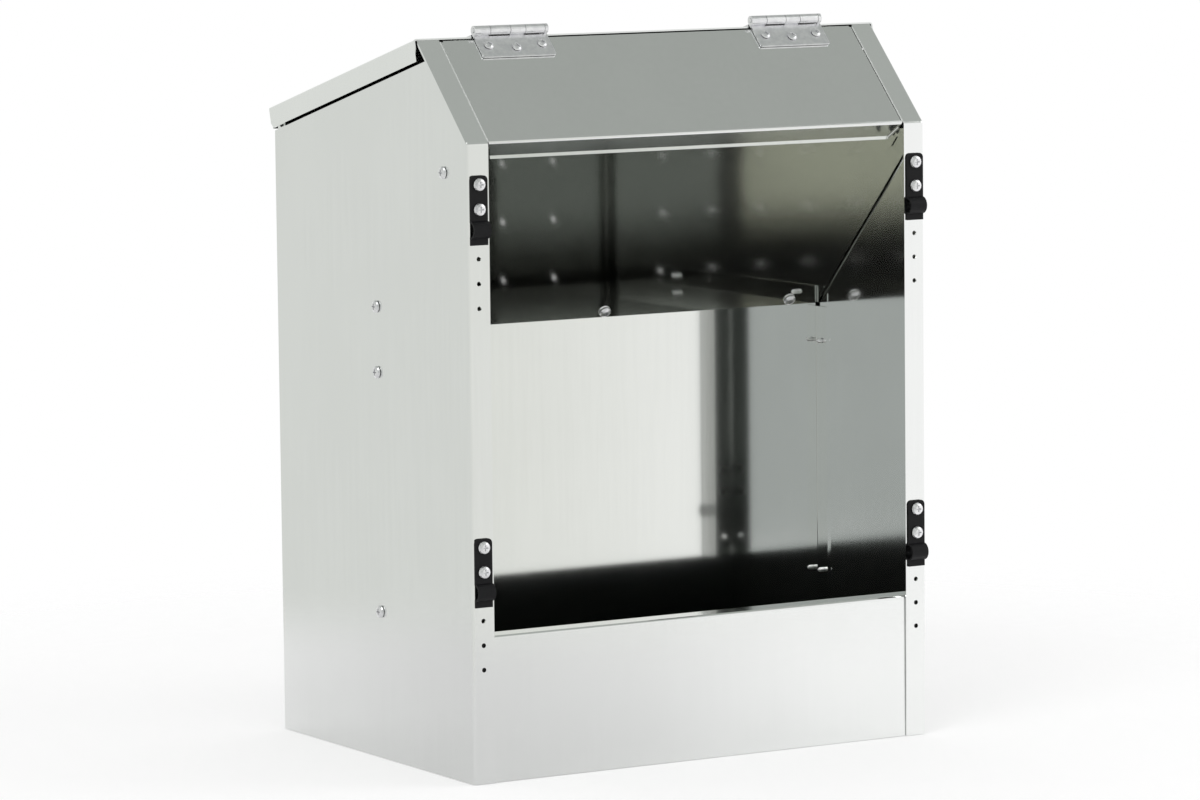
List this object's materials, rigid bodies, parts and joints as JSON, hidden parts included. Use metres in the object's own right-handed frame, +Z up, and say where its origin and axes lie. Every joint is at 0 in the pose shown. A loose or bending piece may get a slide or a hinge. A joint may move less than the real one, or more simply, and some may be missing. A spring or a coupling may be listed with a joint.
{
  "type": "rabbit feeder",
  "caption": "Folded sheet-metal rabbit feeder: a hopper under a rear lid hinged at the ridge feeds an open front trough below a slanted baffle; strap clips on the front posts.",
  "frame": {"origin": "middle of the underside, on the surface that the feeder stands on, halfway between the outer faces of the side panels and of the posts and the back panel", "axes": "+Z up, the open front faces -Y, +X to the right seen from the front"},
  "size_m": [0.335, 0.2609, 0.4573],
  "materials": {
    "bright_sheet": "smooth bright zinc-coated sheet, softly reflective",
    "roof_sheet": "the same sheet on the front roof, a mid grey where it reflects the sky",
    "inner_sheet": "the same sheet inside, nearly a mirror",
    "zinc_hardware": "bright zinc plate on screws, hinges and pins",
    "black_strap": "matte black coating on the strap clips"
  },
  "bodies": {
    "housing": {"back_panel": "bright_sheet", "baffle": "inner_sheet", "baffle_screw_left": "zinc_hardware", "baffle_screw_middle": "zinc_hardware", "baffle_screw_right": "zinc_hardware", "clip_lower_left": "black_strap", "clip_lower_right": "black_strap", "clip_screw_lower_left_bottom": "zinc_hardware", "clip_screw_lower_left_top": "zinc_hardware", "clip_screw_lower_right_bottom": "zinc_hardware", "clip_screw_lower_right_top": "zinc_hardware", "clip_screw_upper_left_bottom": "zinc_hardware", "clip_screw_upper_left_top": "zinc_hardware", "clip_screw_upper_right_bottom": "zinc_hardware", "clip_screw_upper_right_top": "zinc_hardware", "clip_upper_left": "black_strap", "clip_upper_right": "black_strap", "floor_panel": "bright_sheet", "front_slope_panel": "roof_sheet", "hinge_leaf_front_left": "zinc_hardware", "hinge_leaf_front_right": "zinc_hardware", "hinge_pin_left": "zinc_hardware", "hinge_pin_right": "zinc_hardware", "hinge_screw_front_left_1": "zinc_hardware", "hinge_screw_front_left_2": "zinc_hardware", "hinge_screw_front_left_3": "zinc_hardware", "hinge_screw_front_right_1": "zinc_hardware", "hinge_screw_front_right_2": "zinc_hardware", "hinge_screw_front_right_3": "zinc_hardware", "left_side_panel": "bright_sheet", "mid_wall": "inner_sheet", "right_side_panel": "bright_sheet", "side_screw_left_1": "zinc_hardware", "side_screw_left_2": "zinc_hardware", "side_screw_left_3": "zinc_hardware", "side_screw_left_4": "zinc_hardware", "side_screw_right_1": "zinc_hardware", "side_screw_right_2": "zinc_hardware", "side_screw_right_3": "zinc_hardware", "side_screw_right_4": "zinc_hardware", "trough_front": "bright_sheet"},
    "lid": {"hinge_leaf_lid_left": "zinc_hardware", "hinge_leaf_lid_right": "zinc_hardware", "hinge_screw_lid_left_1": "zinc_hardware", "hinge_screw_lid_left_2": "zinc_hardware", "hinge_screw_lid_left_3": "zinc_hardware", "hinge_screw_lid_right_1": "zinc_hardware", "hinge_screw_lid_right_2": "zinc_hardware", "hinge_screw_lid_right_3": "zinc_hardware", "lid": "bright_sheet"}
  },
  "joints": [
    {"name": "lid_hinge", "type": "hinge", "parent": "housing", "child": "lid", "pos_m": [0, -0.0649, 0.45427], "axis": [1, 0, 0], "range_deg": [0, 235]}
  ]
}
